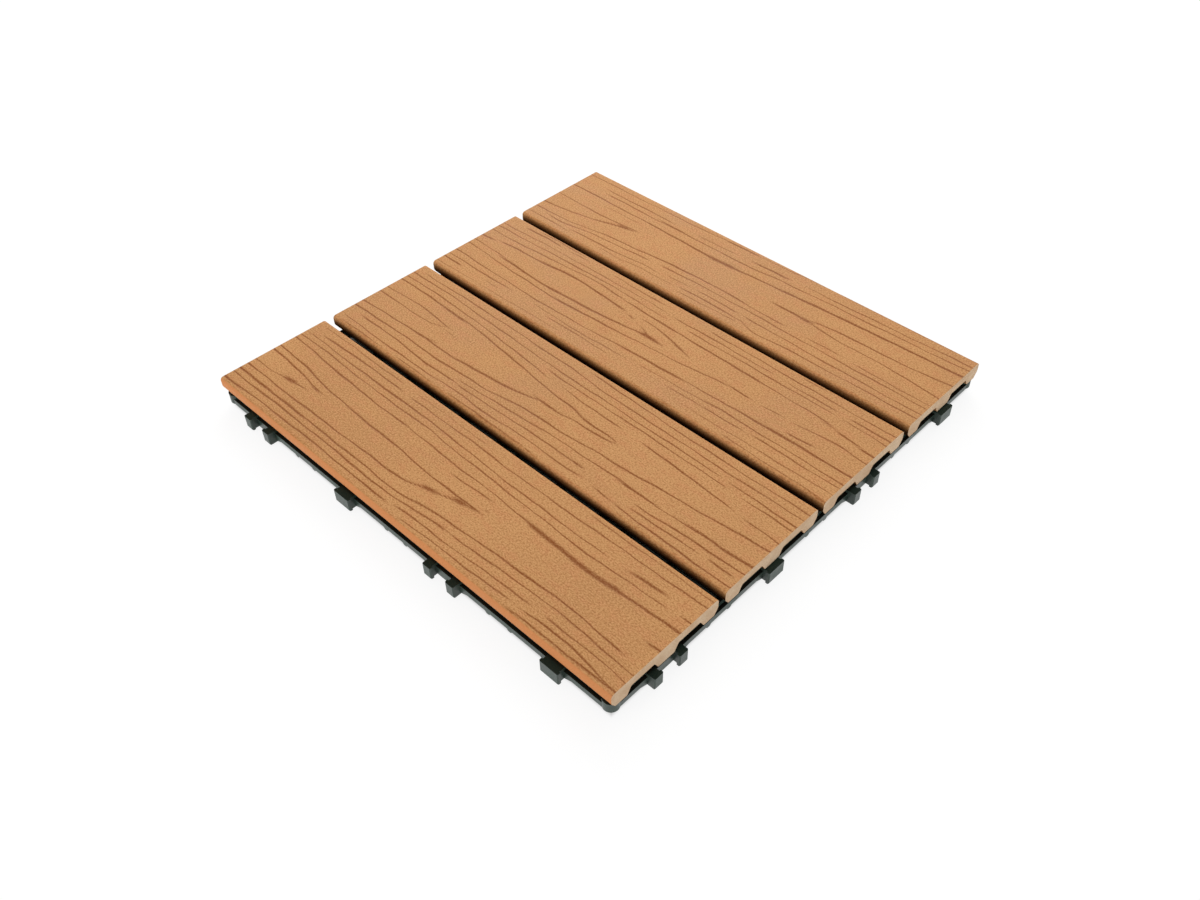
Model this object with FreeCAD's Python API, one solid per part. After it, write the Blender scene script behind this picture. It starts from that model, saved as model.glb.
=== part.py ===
import FreeCAD, Part
import math
import os

# Deck tile: four grooved slats screwed from below to one moulded grid with tongues and sockets.
# Millimetres. X runs along the slats, Y across them, Z up from the ground.

# Whole tile
TILE_SIZE = 300.0
SLAT_COUNT = 4
SLAT_GAP = 5.0
BASE_HEIGHT = 10.0
SLAT_HEIGHT = 10.0

# Slat section
TOP_EDGE_RADIUS = 2.0
SIDE_LEAN = 2.6
SIDE_BEND_HEIGHT = 3.8
SIDE_BEND_RADIUS = 3.5
FOOT_EDGE_RADIUS = 0.5
OUTER_LEG = 10.0
CENTRE_LEG = 10.8
CHANNEL_DEPTH = 4.6
CHANNEL_SLOPE = 2.6
CHANNEL_RADIUS = 1.2

# Grid of ribs
FRAME_INSET = 0.9
LEDGE_WIDTH = 2.0
FRAME_WALL = 3.4
CORNER_RADIUS = 4.0
RIB_THICKNESS = 2.5
RIB_BOTTOM = 4.0
LEDGE_TOP = 7.4
RAIL_THICKNESS = 3.2
RAIL_BOTTOM = 2.8
RAIL_CHAMFER = 0.8
CORNER_POST_RADIUS = 4.2
CORNER_POST_PROUD = 0.5

# Feet and screws
FOOT_RADIUS = 5.6
FOOT_ROOT_RADIUS = 6.4
FOOT_EDGE = 0.6
HEAD_RADIUS = 3.0
HEAD_HEIGHT = 2.2
HEAD_BEVEL = 1.2
HEAD_CLEARANCE = 0.5
SHANK_RADIUS = 1.75
SHANK_CLEARANCE = 0.15
THREAD_CLEARANCE = 0.05
SEAT_WEB = 4.0
SCREW_BITE = 6.0
TIP_LENGTH = 1.6
PILOT_SPARE = 0.5

# Tongues and sockets round the edge
JOINT_BOTTOM = 1.5
JOINT_TOP = 9.3
PAD_BOTTOM = 2.0
PAD_DEPTH = 4.0
PAD_SWEEP = 5.0
LIP_THICKNESS = 1.9
LIP_LENGTH = 0.8
TONGUE_WIDTH = 12.0
SOCKET_WIDTH = 22.6
SIDE_CLEARANCE = 0.3
SEAT_CLEARANCE = 0.25
JOINT_CHAMFER = 0.5

# Points closer than this are one point
COINCIDENT = 1e-6

# Sizes that follow from those above
SLAT_WIDTH = (TILE_SIZE - (SLAT_COUNT - 1) * SLAT_GAP) / SLAT_COUNT
SLAT_PITCH = SLAT_WIDTH + SLAT_GAP
TILE_HALF = TILE_SIZE / 2
TOP = BASE_HEIGHT + SLAT_HEIGHT
EDGE = TILE_HALF - FRAME_INSET
WALL_FACE = EDGE - LEDGE_WIDTH
RAIL_OFFSET = (SLAT_GAP + OUTER_LEG) / 2
NECK_LENGTH = LIP_THICKNESS + 2 * SEAT_CLEARANCE
HOOK_FACE = EDGE + NECK_LENGTH
JOINT_FACE = HOOK_FACE + LIP_THICKNESS
NECK_WIDTH = TONGUE_WIDTH - 2 * LIP_LENGTH
SOCKET_MOUTH = NECK_WIDTH + 2 * SIDE_CLEARANCE
SOCKET_CAVITY = TONGUE_WIDTH + 2 * SIDE_CLEARANCE
HEAD_SEAT = BASE_HEIGHT - SEAT_WEB

SLAT_CENTRES = [(index - (SLAT_COUNT - 1) / 2) * SLAT_PITCH for index in range(SLAT_COUNT)]
GAP_CENTRES = [centre + SLAT_PITCH / 2 for centre in SLAT_CENTRES[:-1]]
RAIL_LINES = sorted([gap + side * RAIL_OFFSET for gap in GAP_CENTRES for side in (-1, 1)])
GRID_LINES = sorted(RAIL_LINES + SLAT_CENTRES)


def on_plan(level):
    """Place a point drawn in plan at a height."""
    return lambda u, v: FreeCAD.Vector(u, v, level)


def on_section(x):
    """Place a point of a section across the slats at a station along them."""
    return lambda u, v: FreeCAD.Vector(x, u, v)


def on_edge(y):
    """Place a point drawn on the front edge of the tile, across and up."""
    return lambda u, v: FreeCAD.Vector(u, y, v)


def on_radius():
    """Place a point of a turned section, radius and height."""
    return lambda u, v: FreeCAD.Vector(u, 0, v)


def corner_cut(before, here, after, radius):
    """Start, middle and end of the round that a corner gets."""
    back = (before - here).normalize()
    ahead = (after - here).normalize()
    half_angle = back.getAngle(ahead) / 2
    run = radius / math.tan(half_angle)
    inward = (back + ahead).normalize()
    middle = here + inward * (radius / math.sin(half_angle) - radius)
    return here + back * run, middle, here + ahead * run


def outline(corners, place):
    """Face inside a closed outline of corners, each given as across, up and radius."""
    cuts = []
    for index, (u, v, radius) in enumerate(corners):
        before = corners[index - 1]
        after = corners[(index + 1) % len(corners)]
        here = FreeCAD.Vector(u, v, 0)
        if radius:
            start, middle, end = corner_cut(
                FreeCAD.Vector(before[0], before[1], 0), here,
                FreeCAD.Vector(after[0], after[1], 0), radius)
        else:
            start, middle, end = here, here, here
        cuts.append([place(point.x, point.y) for point in (start, middle, end)])
    edges = []
    for index, (start, middle, end) in enumerate(cuts):
        if (end - start).Length > COINCIDENT:
            edges.append(Part.Arc(start, middle, end).toShape())
        following = cuts[(index + 1) % len(cuts)][0]
        if (following - end).Length > COINCIDENT:
            edges.append(Part.makeLine(end, following))
    return Part.Face(Part.Wire(edges))


def mirrored(half):
    """Close a right-hand half outline with its mirror image."""
    return half + [(-u, v, radius) for u, v, radius in reversed(half)]


def turned(corners):
    """Solid of revolution about the upright axis."""
    return outline(corners, on_radius()).revolve(
        FreeCAD.Vector(0, 0, 0), FreeCAD.Vector(0, 0, 1), 360)


def moved(shape, x, y):
    """Copy of a shape at a place in plan."""
    copy = shape.copy()
    copy.translate(FreeCAD.Vector(x, y, 0))
    return copy


def at_each_side(shape):
    """Copies of a front-edge shape on all four sides of the tile."""
    copies = []
    for turn in range(4):
        copy = shape.copy()
        copy.rotate(FreeCAD.Vector(0, 0, 0), FreeCAD.Vector(0, 0, 1), 90 * turn)
        copies.append(copy)
    return copies


def square_slab(half, radius, bottom, top):
    """Square slab with rounded corners."""
    corners = [(-half, -half, radius), (half, -half, radius), (half, half, radius), (-half, half, radius)]
    return outline(corners, on_plan(bottom)).extrude(FreeCAD.Vector(0, 0, top - bottom))


def screw_points():
    """Plan positions of the screws, under each slat's middle leg."""
    return [(x, y) for x in SLAT_CENTRES for y in SLAT_CENTRES]


def grid_windows():
    """Open cells between the ribs, as one set of prisms."""
    inner = WALL_FACE - FRAME_WALL
    half_rib = RIB_THICKNESS / 2
    starts = [-inner] + [line + half_rib for line in GRID_LINES]
    ends = [line - half_rib for line in GRID_LINES] + [inner]
    cells = []
    for left, right in zip(starts, ends):
        for near, far in zip(starts, ends):
            corners = [(left, near, 0), (right, near, 0), (right, far, 0), (left, far, 0)]
            cell = outline(corners, on_plan(0))
            cells.append(cell.extrude(FreeCAD.Vector(0, 0, TOP)))
    return cells


def rail_keels():
    """Deeper and thicker lower parts of the paired rails that run beside each gap."""
    keels = []
    half = RAIL_THICKNESS / 2
    for line in RAIL_LINES:
        corners = [
            (line - half + RAIL_CHAMFER, RAIL_BOTTOM, 0),
            (line + half - RAIL_CHAMFER, RAIL_BOTTOM, 0),
            (line + half, RAIL_BOTTOM + RAIL_CHAMFER, 0),
            (line + half, LEDGE_TOP, 0),
            (line - half, LEDGE_TOP, 0),
            (line - half, RAIL_BOTTOM + RAIL_CHAMFER, 0),
        ]
        keel = outline(corners, on_section(-EDGE)).extrude(FreeCAD.Vector(2 * EDGE, 0, 0))
        keels.append(keel)
        crossing = keel.copy()
        crossing.rotate(FreeCAD.Vector(0, 0, 0), FreeCAD.Vector(0, 0, 1), 90)
        keels.append(crossing)
    return keels


def foot():
    """Round foot that carries one screw, drafted towards the ground."""
    return turned([
        (0, 0, 0),
        (FOOT_RADIUS - FOOT_EDGE, 0, 0),
        (FOOT_RADIUS, FOOT_EDGE, 0),
        (FOOT_ROOT_RADIUS, BASE_HEIGHT, 0),
        (0, BASE_HEIGHT, 0),
    ])


def screw_bore():
    """Stepped hole up through a foot: head recess, seat and shank hole."""
    recess = HEAD_RADIUS + HEAD_CLEARANCE
    shank = SHANK_RADIUS + SHANK_CLEARANCE
    return turned([
        (0, -1, 0),
        (recess, -1, 0),
        (recess, HEAD_SEAT, 0),
        (shank, HEAD_SEAT, 0),
        (shank, TOP, 0),
        (0, TOP, 0),
    ])


def screw():
    """Pan-head screw, head down, with a pointed tip."""
    tip = BASE_HEIGHT + SCREW_BITE
    return turned([
        (0, HEAD_SEAT - HEAD_HEIGHT, 0),
        (HEAD_RADIUS - HEAD_BEVEL, HEAD_SEAT - HEAD_HEIGHT, 0),
        (HEAD_RADIUS, HEAD_SEAT - HEAD_HEIGHT + HEAD_BEVEL, 0),
        (HEAD_RADIUS, HEAD_SEAT, 0),
        (SHANK_RADIUS, HEAD_SEAT, 0),
        (SHANK_RADIUS, tip - TIP_LENGTH, 0),
        (0, tip, 0),
    ])


def corner_posts():
    """Round posts that bulge a little past the frame's corners."""
    centre = EDGE + CORNER_POST_PROUD - CORNER_POST_RADIUS
    post = Part.makeCylinder(
        CORNER_POST_RADIUS, BASE_HEIGHT - RIB_BOTTOM, FreeCAD.Vector(centre, -centre, RIB_BOTTOM))
    return at_each_side(post)


def joint_prism(plan):
    """Upright block of a joint from its plan, with a lead-in along its lower outer edge."""
    block = outline(plan, on_plan(JOINT_BOTTOM)).extrude(FreeCAD.Vector(0, 0, JOINT_TOP - JOINT_BOTTOM))
    lead_in = outline([
        (-JOINT_FACE, JOINT_BOTTOM, 0),
        (-JOINT_FACE + JOINT_CHAMFER, JOINT_BOTTOM, 0),
        (-JOINT_FACE, JOINT_BOTTOM + JOINT_CHAMFER, 0),
    ], on_section(-SOCKET_WIDTH)).extrude(FreeCAD.Vector(2 * SOCKET_WIDTH, 0, 0))
    return block.cut(lead_in)


def joint_pad(half_width):
    """Deep pad behind a joint, sloping up into the frame on both sides."""
    corners = [
        (half_width, PAD_BOTTOM, 0),
        (half_width + PAD_SWEEP, RIB_BOTTOM, 0),
        (half_width + PAD_SWEEP, LEDGE_TOP, 0),
    ]
    face = outline(mirrored(corners), on_edge(-EDGE))
    return face.extrude(FreeCAD.Vector(0, PAD_DEPTH, 0))


def tongue():
    """T-shaped tongue on its pad."""
    neck = NECK_WIDTH / 2
    head = TONGUE_WIDTH / 2
    plan = mirrored([
        (head - JOINT_CHAMFER, -JOINT_FACE, 0),
        (head, -JOINT_FACE + JOINT_CHAMFER, 0),
        (head, -HOOK_FACE, 0),
        (neck, -HOOK_FACE, 0),
        (neck, -WALL_FACE + RIB_THICKNESS / 2, 0),
    ])
    return joint_prism(plan).fuse(joint_pad(neck))


def socket():
    """Pair of facing hooks on one pad, which hold a neighbour's tongue."""
    mouth = SOCKET_MOUTH / 2
    cavity = SOCKET_CAVITY / 2
    outer = SOCKET_WIDTH / 2
    plan = [
        (mouth, -JOINT_FACE + JOINT_CHAMFER, 0),
        (mouth + JOINT_CHAMFER, -JOINT_FACE, 0),
        (outer - JOINT_CHAMFER, -JOINT_FACE, 0),
        (outer, -JOINT_FACE + JOINT_CHAMFER, 0),
        (outer, -WALL_FACE + RIB_THICKNESS / 2, 0),
        (cavity, -WALL_FACE + RIB_THICKNESS / 2, 0),
        (cavity, -HOOK_FACE, 0),
        (mouth, -HOOK_FACE, 0),
    ]
    hook = joint_prism(plan)
    facing = hook.mirror(FreeCAD.Vector(0, 0, 0), FreeCAD.Vector(1, 0, 0))
    return joint_pad(outer).fuse([hook, facing])


def edge_joints():
    """Sockets and tongues in turn along each side, so any side fits any other."""
    kinds = (socket(), tongue())
    joints = []
    for index, station in enumerate(SLAT_CENTRES):
        joints += at_each_side(moved(kinds[index % 2], station, 0))
    return joints


def build_base():
    """Grid, frame, feet and joints in one moulding."""
    ledge = square_slab(EDGE, CORNER_RADIUS, RIB_BOTTOM, LEDGE_TOP)
    wall = square_slab(WALL_FACE, CORNER_RADIUS - LEDGE_WIDTH / 2, RIB_BOTTOM, BASE_HEIGHT)
    grid = ledge.fuse(wall).cut(Part.makeCompound(grid_windows()))
    feet = [moved(foot(), x, y) for x, y in screw_points()]
    moulding = grid.fuse(rail_keels() + corner_posts() + feet + edge_joints())
    bores = [moved(screw_bore(), x, y) for x, y in screw_points()]
    return moulding.cut(Part.makeCompound(bores)).removeSplitter()


def slat_section(x):
    """Section of a slat: rounded top, leaning sides, three legs and two channels."""
    half = SLAT_WIDTH / 2
    foot_inside = half - OUTER_LEG
    centre_leg = CENTRE_LEG / 2
    roof = BASE_HEIGHT + CHANNEL_DEPTH
    right = [
        (centre_leg, BASE_HEIGHT, FOOT_EDGE_RADIUS),
        (centre_leg + CHANNEL_SLOPE, roof, CHANNEL_RADIUS),
        (foot_inside - CHANNEL_SLOPE, roof, CHANNEL_RADIUS),
        (foot_inside, BASE_HEIGHT, FOOT_EDGE_RADIUS),
        (half - SIDE_LEAN, BASE_HEIGHT, FOOT_EDGE_RADIUS),
        (half, BASE_HEIGHT + SIDE_BEND_HEIGHT, SIDE_BEND_RADIUS),
        (half, TOP, TOP_EDGE_RADIUS),
    ]
    return outline(mirrored(right), on_section(x))


def build_slat(centre):
    """One slat across its line, with pilot holes under its middle leg."""
    body = slat_section(-TILE_HALF).extrude(FreeCAD.Vector(TILE_SIZE, 0, 0))
    depth = SCREW_BITE + PILOT_SPARE
    pilot = Part.makeCylinder(
        SHANK_RADIUS + THREAD_CLEARANCE, depth + 1, FreeCAD.Vector(0, 0, BASE_HEIGHT - 1))
    pilots = [moved(pilot, x, 0) for x in SLAT_CENTRES]
    return moved(body.cut(Part.makeCompound(pilots)), 0, centre)


def build_screws():
    """All the screws, each its own solid."""
    return Part.makeCompound([moved(screw(), x, y) for x, y in screw_points()])


def main():
    """Build each piece and write it under its own name."""
    os.makedirs("parts", exist_ok=True)
    pieces = {"base_grid": build_base(), "screws": build_screws()}
    for number, centre in enumerate(SLAT_CENTRES, start=1):
        pieces["slat_" + str(number)] = build_slat(centre)
    for name, shape in pieces.items():
        shape.exportStep("parts/" + name + ".step")


main()
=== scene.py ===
import logging
import math
from dataclasses import dataclass, field
from enum import Enum

import bmesh
import bpy
import numpy as np
from mathutils import Matrix, Vector


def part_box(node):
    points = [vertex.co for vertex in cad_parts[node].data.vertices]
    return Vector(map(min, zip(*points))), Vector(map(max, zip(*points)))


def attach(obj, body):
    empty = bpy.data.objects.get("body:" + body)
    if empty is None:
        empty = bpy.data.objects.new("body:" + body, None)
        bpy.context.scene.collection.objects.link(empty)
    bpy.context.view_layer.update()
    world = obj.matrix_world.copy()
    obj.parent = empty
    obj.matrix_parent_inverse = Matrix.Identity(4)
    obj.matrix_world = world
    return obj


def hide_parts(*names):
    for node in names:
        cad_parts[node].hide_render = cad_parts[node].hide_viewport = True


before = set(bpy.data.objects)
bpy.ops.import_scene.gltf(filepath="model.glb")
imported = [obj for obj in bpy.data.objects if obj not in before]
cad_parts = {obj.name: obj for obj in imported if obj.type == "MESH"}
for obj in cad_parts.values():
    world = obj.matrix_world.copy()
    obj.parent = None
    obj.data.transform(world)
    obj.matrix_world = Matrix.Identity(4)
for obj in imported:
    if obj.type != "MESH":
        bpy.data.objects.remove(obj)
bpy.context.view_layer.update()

MM = 0.001
NEAR = 0.001 * MM
ROOT = "root"
LINE_MASK = "grain_line"
# Mask of painted shade, by depth down the gap sides and in the channels.
GAP_MASK = "gap_shade"
LOG = logging.getLogger("deck_tile")


class Part(Enum):
    """Pieces of the tile, by the names of their solids."""

    GRID = "base_grid"
    SCREWS = "screws"
    SLAT_1 = "slat_1"
    SLAT_2 = "slat_2"
    SLAT_3 = "slat_3"
    SLAT_4 = "slat_4"


class Slot(Enum):
    """Names for material slots, which the new pieces don't take."""

    COMPOSITE = "slat_composite"
    STEEL = "screw_steel"


class Socket(Enum):
    """Kinds of socket that a shader node group may have."""

    VALUE = "NodeSocketFloat"
    VECTOR = "NodeSocketVector"


def srgb(red: int, green: int, blue: int) -> tuple[float, float, float, float]:
    """Linear colour of a screen colour.

    Args:
        red: Red from 0 to 255.
        green: Green from 0 to 255.
        blue: Blue from 0 to 255.

    Returns:
        The linear colour with full alpha.
    """
    linear = []
    for value in (red / 255, green / 255, blue / 255):
        linear.append(value / 12.92 if value <= 0.04045 else ((value + 0.055) / 1.055) ** 2.4)
    return (*linear, 1.0)


@dataclass
class NodeSheet:
    """A node tree with short calls for adding and linking nodes."""

    tree: bpy.types.NodeTree

    def fill(self, node: bpy.types.Node, fed: dict) -> None:
        """Link sockets to a node's inputs, or set plain values on them.

        Args:
            node: The node.
            fed: Output sockets or values, by the input's name or number.
        """
        for name, source in fed.items():
            if isinstance(source, bpy.types.NodeSocket):
                self.tree.links.new(source, node.inputs[name])
            else:
                node.inputs[name].default_value = source

    def add(self, kind: str, fed: dict | None = None, **settings: object) -> bpy.types.Node:
        """Add a node.

        Args:
            kind: The node's type name.
            fed: Sockets or values for its inputs.
            settings: Properties to set on the node.

        Returns:
            The new node.
        """
        node = self.tree.nodes.new(kind)
        for name, value in settings.items():
            setattr(node, name, value)
        self.fill(node, fed or {})
        return node

    def maths(self, operation: str, first: object, second: object = 0.0, clamp: bool = False) -> object:
        """Add a Math node.

        Args:
            operation: The node's operation.
            first: First socket or value.
            second: Second socket or value.
            clamp: Whether the result is kept between 0 and 1.

        Returns:
            The output socket.
        """
        fed = {0: first, 1: second}
        return self.add("ShaderNodeMath", fed, operation=operation, use_clamp=clamp).outputs[0]

    def ramp(self, value: object, low: float, high: float, start: float = 0.0, end: float = 1.0) -> object:
        """Spread a value from one range to another, clamped and eased.

        Args:
            value: Socket to spread.
            low: Value that gives the start.
            high: Value that gives the end.
            start: Result at the low value.
            end: Result at the high value.

        Returns:
            The output socket.
        """
        fed = dict(enumerate((value, low, high, start, end)))
        return self.add("ShaderNodeMapRange", fed, interpolation_type="SMOOTHSTEP").outputs[0]

    def blend(self, factor: object, first: object, second: object) -> object:
        """Mix two colours.

        Args:
            factor: Socket or value from 0 to 1.
            first: First colour.
            second: Second colour.

        Returns:
            The colour output.
        """
        fed = {"Factor": factor, 6: first, 7: second}
        return self.add("ShaderNodeMix", fed, data_type="RGBA").outputs[2]

    def stretched(self, vector: object, scale: tuple[float, float, float]) -> object:
        """Scale a position before a pattern reads it.

        Args:
            vector: Position socket.
            scale: Scale along each axis.

        Returns:
            The vector output.
        """
        return self.add("ShaderNodeMapping", {"Vector": vector, "Scale": scale}).outputs["Vector"]

    def noise(self, vector: object, scale: object, rough: float = 0.6) -> object:
        """Add a noise pattern of three octaves.

        Args:
            vector: Position socket.
            scale: Scale of the pattern.
            rough: Roughness of the octaves.

        Returns:
            The noise value output.
        """
        fed = {"Vector": vector, "Scale": scale, "Detail": 3.0, "Roughness": rough}
        return self.add("ShaderNodeTexNoise", fed).outputs[0]

    def place(self) -> object:
        """Position on the object.

        Returns:
            The vector output, in metres.
        """
        return self.add("ShaderNodeTexCoord").outputs["Object"]

    def reach(self) -> object:
        """Distance from the object's middle along X or along Y, whichever is longer.

        Returns:
            The distance output, in metres.
        """
        spot = self.add("ShaderNodeSeparateXYZ", {0: self.place()})
        return self.maths("MAXIMUM", *(self.maths("ABSOLUTE", spot.outputs[axis]) for axis in "XY"))

    def level(self) -> object:
        """How level the surface lies.

        Returns:
            The output, from 0 for an upright face to 1 for a flat one.
        """
        normal = self.add("ShaderNodeNewGeometry").outputs["Normal"]
        return self.maths("ABSOLUTE", self.add("ShaderNodeSeparateXYZ", {0: normal}).outputs["Z"])

    def painted(self, name: str) -> object:
        """Mask that the mesh carries.

        Args:
            name: The mask's name.

        Returns:
            The mask's output.
        """
        return self.add("ShaderNodeAttribute", attribute_name=name).outputs["Fac"]

    def bump(self, height: object, strength: float, distance: float) -> object:
        """Turn a height into a normal.

        Args:
            height: Height socket.
            strength: Strength of the effect.
            distance: Height in metres of a full step.

        Returns:
            The normal output.
        """
        fed = {"Height": height, "Strength": strength, "Distance": distance}
        return self.add("ShaderNodeBump", fed).outputs["Normal"]


def empty_sheet(holder: bpy.types.ID) -> NodeSheet:
    """Clear the nodes of a material or world.

    Args:
        holder: The material or world.

    Returns:
        Its empty sheet.
    """
    holder.use_nodes = True
    holder.node_tree.nodes.clear()
    return NodeSheet(holder.node_tree)


def node_group(name: str, inputs: dict[str, tuple[Socket, float]], outputs: dict[str, Socket]) -> NodeSheet:
    """Start a shader node group with its sockets.

    Args:
        name: The group's name.
        inputs: Input names with their kind and first value.
        outputs: Output names with their kind.

    Returns:
        The sheet of the new group.
    """
    tree = bpy.data.node_groups.new(name, "ShaderNodeTree")
    for label, (kind, value) in inputs.items():
        made = tree.interface.new_socket(label, in_out="INPUT", socket_type=kind.value)
        if kind is Socket.VALUE:
            made.default_value = value
    for label, kind in outputs.items():
        tree.interface.new_socket(label, in_out="OUTPUT", socket_type=kind.value)
    return NodeSheet(tree)


@dataclass
class SpeckleEffect:
    """Fine grains and soft clouds that a filled or textured plastic shows, as masks."""

    tree: bpy.types.NodeTree = field(init=False)
    cloud_rough: float = 0.5
    grain_range: tuple = (0.32, 0.68)
    cloud_range: tuple = (0.34, 0.66)

    def __post_init__(self) -> None:
        """Build the group once."""
        sheet = node_group(
            "speckle",
            {
                "Position": (Socket.VECTOR, 0.0),
                "Grain Scale": (Socket.VALUE, 900.0),
                "Cloud Scale": (Socket.VALUE, 30.0),
            },
            {"Grain": Socket.VALUE, "Cloud": Socket.VALUE},
        )
        start = sheet.add("NodeGroupInput")
        spot = start.outputs["Position"]
        grain = sheet.noise(spot, start.outputs["Grain Scale"])
        cloud = sheet.noise(spot, start.outputs["Cloud Scale"], self.cloud_rough)
        sheet.add("NodeGroupOutput", {
            "Grain": sheet.ramp(grain, *self.grain_range), "Cloud": sheet.ramp(cloud, *self.cloud_range)})
        self.tree = sheet.tree

    def use(self, sheet: NodeSheet, position: object, grain: float, cloud: float) -> tuple[object, object]:
        """Place the group in a material.

        Args:
            sheet: The material's sheet.
            position: Position socket.
            grain: Scale of the grains.
            cloud: Scale of the clouds.

        Returns:
            The grain mask and the cloud mask.
        """
        fed = {"Position": position, "Grain Scale": grain, "Cloud Scale": cloud}
        node = sheet.add("ShaderNodeGroup", fed, node_tree=self.tree)
        return node.outputs["Grain"], node.outputs["Cloud"]


def fresh_material(name: str) -> tuple[bpy.types.Material, NodeSheet, bpy.types.Node]:
    """Make a material with only its shader and output.

    Args:
        name: The material's name.

    Returns:
        The material, its sheet and its Principled shader.
    """
    material = bpy.data.materials.new(name)
    sheet = empty_sheet(material)
    shader = sheet.add("ShaderNodeBsdfPrincipled")
    sheet.add("ShaderNodeOutputMaterial", {"Surface": shader.outputs["BSDF"]})
    return material, sheet, shader


@dataclass(frozen=True)
class EmbossedComposite:
    """Brown composite slat skin with darker embossed lines, painted light on open sides, painted shade in
    gaps.

    A range is what a mask is read over. A share is the most that it lets its colour through. Bump
    heights are in millimetres.
    """

    light: tuple = srgb(209, 153, 97)
    body: tuple = srgb(196, 140, 84)
    line: tuple = srgb(136, 74, 22)
    dark: tuple = srgb(152, 92, 44)
    fleck: tuple = srgb(232, 180, 122)
    tint: tuple = srgb(206, 139, 89)
    # Lighter, redder colour of the open upright sides: painted light.
    edge: tuple = srgb(226, 146, 88)
    # Painted shade for the gap sides and the channels.
    shade: tuple = srgb(36, 17, 7)
    grain_scale: float = 1500.0
    cloud_scale: float = 26.0
    speckle_stretch: tuple = (0.6, 1.0, 1.0)
    patch_scale: float = 210.0
    patch_stretch: tuple = (0.5, 1.0, 1.0)
    fibre_stretch: tuple = (60.0, 1500.0, 1500.0)
    patch_range: tuple = (0.46, 0.66)
    fibre_range: tuple = (0.5, 0.75)
    side_range: tuple = (0.97, 0.6)
    tint_share: float = 0.5
    fibre_share: float = 0.32
    dark_share: float = 0.55
    fleck_share: float = 0.48
    lit_side_share: float = 0.85
    broken_line: float = 0.7
    roughness: tuple = (0.6, 0.74)
    sheen: float = 0.22
    relief: float = 0.3
    bump_strength: float = 0.5
    bump_height: float = 0.1

    def make(self, speckle: SpeckleEffect) -> bpy.types.Material:
        """Build the material.

        Args:
            speckle: The shared speckle effect.

        Returns:
            The finished material.
        """
        material, sheet, shader = fresh_material("embossed_composite")
        place = sheet.place()
        spread = sheet.stretched(place, self.speckle_stretch)
        grain, cloud = speckle.use(sheet, spread, self.grain_scale, self.cloud_scale)
        colour = sheet.blend(cloud, self.body, self.light)
        patches = sheet.noise(sheet.stretched(place, self.patch_stretch), self.patch_scale)
        fibres = sheet.noise(sheet.stretched(place, self.fibre_stretch), 1.0)
        for mask, spans, layer in (
            (patches, (*self.patch_range, 0.0, self.tint_share), self.tint),
            (fibres, (*self.fibre_range, 0.0, self.fibre_share), self.dark),
            (grain, (0.0, 0.5, self.dark_share, 0.0), self.dark),
            (grain, (0.5, 1.0, 0.0, self.fleck_share), self.fleck),
        ):
            colour = sheet.blend(sheet.ramp(mask, *spans), colour, layer)
        line = sheet.painted(LINE_MASK)
        kept = sheet.ramp(grain, 0.3, 1.0, 1.0, self.broken_line)
        colour = sheet.blend(sheet.maths("MULTIPLY", line, kept, clamp=True), colour, self.line)
        gap = sheet.painted(GAP_MASK)
        # Upright sides outside the gaps take the edge colour as painted light.
        side = sheet.ramp(sheet.level(), *self.side_range)
        lit_open_side = sheet.maths("MULTIPLY", side, sheet.ramp(gap, 0.0, 0.01, self.lit_side_share, 0.0))
        colour = sheet.blend(lit_open_side, colour, self.edge)
        # Painted shade: darker with depth down the gap sides, faintly in the channels.
        colour = sheet.blend(gap, colour, self.shade)
        bumps, grooves = (sheet.maths("MULTIPLY", mask, self.relief) for mask in (grain, line))
        height = sheet.maths("SUBTRACT", bumps, grooves)
        sheet.fill(shader, {
            "Base Color": colour,
            "Roughness": sheet.ramp(cloud, 0.0, 1.0, *self.roughness),
            "Specular IOR Level": sheet.ramp(gap, 0.0, 0.5, self.sheen, 0.0),
            "Normal": sheet.bump(height, self.bump_strength, self.bump_height * MM),
        })
        return material


@dataclass(frozen=True)
class SawnComposite:
    """Pale sawn end of a composite slat. Bump heights are in millimetres."""

    body: tuple = srgb(250, 221, 186)
    dark: tuple = srgb(206, 158, 112)
    grain_scale: float = 1400.0
    cloud_scale: float = 90.0
    cloud_share: float = 0.4
    grain_share: float = 0.35
    roughness: tuple = (0.8, 0.9)
    bump_strength: float = 0.4
    bump_height: float = 0.1

    def make(self, speckle: SpeckleEffect) -> bpy.types.Material:
        """Build the material.

        Args:
            speckle: The shared speckle effect.

        Returns:
            The finished material.
        """
        material, sheet, shader = fresh_material("sawn_composite")
        grain, cloud = speckle.use(sheet, sheet.place(), self.grain_scale, self.cloud_scale)
        colour = sheet.blend(sheet.maths("MULTIPLY", cloud, self.cloud_share), self.body, self.dark)
        colour = sheet.blend(sheet.maths("MULTIPLY", grain, self.grain_share), colour, self.dark)
        sheet.fill(shader, {
            "Base Color": colour,
            "Roughness": sheet.ramp(grain, 0.0, 1.0, *self.roughness),
            "Normal": sheet.bump(grain, self.bump_strength, self.bump_height * MM),
        })
        return material


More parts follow.
